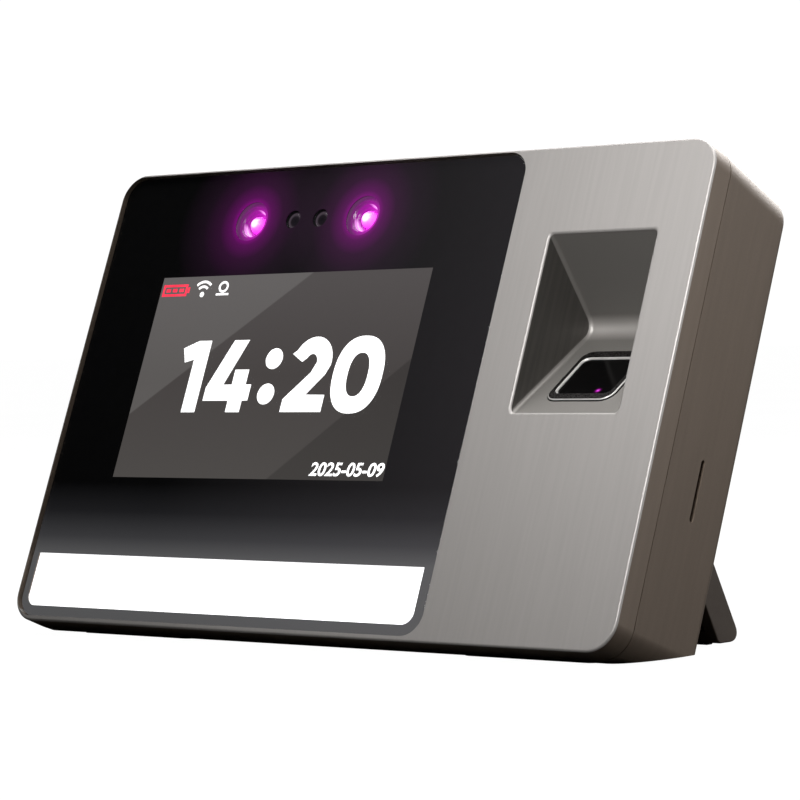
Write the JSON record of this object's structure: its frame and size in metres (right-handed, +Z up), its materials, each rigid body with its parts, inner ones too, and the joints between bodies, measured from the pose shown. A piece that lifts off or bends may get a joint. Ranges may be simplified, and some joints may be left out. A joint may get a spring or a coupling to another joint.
{
  "type": "fingerprint scanner terminal",
  "caption": "Leaning desk-top fingerprint and face terminal with a glass-covered clock display, light bar, infrared lamps, a finger well and a folding rear stand.",
  "frame": {"origin": "on the desk, under the middle of the bounding box", "axes": "+X to the right across the face, +Y towards the back, +Z up; the face leans back 22 degrees and looks along -Y and up"},
  "size_m": [0.198, 0.0798, 0.1226],
  "materials": {
    "silver": "satin silver metallic paint over moulded plastic",
    "taupe": "matt taupe grey-brown fine-textured plastic",
    "cover_glass": "clear polished cover glass, dark because of the print behind it",
    "black_print": "black screen print",
    "screen": "lit display showing a clock on a grey ground",
    "light_bar": "lit milky white diffuser",
    "infrared": "clear epoxy lamp glowing magenta",
    "dark_lens": "polished dark lens",
    "black_plastic": "matt black plastic",
    "platen": "polished black sensor glass",
    "gunmetal": "dark gunmetal with bright chamfers",
    "board": "green solder mask",
    "steel": "plain nickel-plated steel",
    "rubber": "matt black rubber",
    "foam": "dark open foam",
    "battery": "blue shrink sleeve",
    "flex": "amber polyimide film",
    "cable": "black sleeved lead"
  },
  "bodies": {
    "terminal": {"front_casing": "silver", "rear_housing": "taupe", "cover_glass": "cover_glass", "glass_mask": "black_print", "display_panel": "screen", "display_backlight": "steel", "light_bar_diffuser": "light_bar", "light_bar_board": "board", "ir_ring_left": "black_plastic", "ir_ring_right": "black_plastic", "ir_lamp_left": "infrared", "ir_lamp_right": "infrared", "camera_body_left": "black_plastic", "camera_body_right": "black_plastic", "camera_lens_left": "dark_lens", "camera_lens_right": "dark_lens", "camera_board": "board", "fingerprint_bezel": "gunmetal", "fingerprint_glass": "platen", "fingerprint_module": "black_plastic", "sensor_lamp": "infrared", "fingerprint_board": "board", "main_board": "board", "shield_can": "steel", "io_board": "board", "power_jack": "black_plastic", "usb_port": "steel", "key_switch": "black_plastic", "speaker": "black_plastic", "speaker_gasket": "foam", "battery_pack": "battery", "wifi_antenna": "flex", "display_ribbon": "flex", "camera_ribbon": "flex", "io_ribbon": "flex", "sensor_cable": "cable", "speaker_cable": "cable", "light_bar_cable": "cable", "battery_cable": "cable", "antenna_lead": "cable", "hinge_pin_left": "steel", "hinge_pin_right": "steel", "hinge_washer_left": "black_plastic", "hinge_washer_right": "black_plastic", "foot_pad_left": "rubber", "foot_pad_right": "rubber", "case_screw_1": "steel", "board_screw_1": "steel", "case_screw_2": "steel", "board_screw_2": "steel", "case_screw_3": "steel", "board_screw_3": "steel", "case_screw_4": "steel", "board_screw_4": "steel"},
    "stand": {"stand_flap": "taupe", "stand_foot_pad": "rubber"},
    "power_key": {"power_key": "black_plastic"}
  },
  "joints": [
    {"name": "stand_fold", "type": "hinge", "parent": "terminal", "child": "stand", "pos_m": [0, 0.00631, 0.03462], "axis": [-1, 0, 0], "range_deg": [0, 51]},
    {"name": "power_key_press", "type": "slide", "parent": "terminal", "child": "power_key", "axis": [0, -0.9272, 0.3746], "range_m": [0, 0.0008], "stiffness_N_per_m": 400, "springref_m": -0.001}
  ]
}
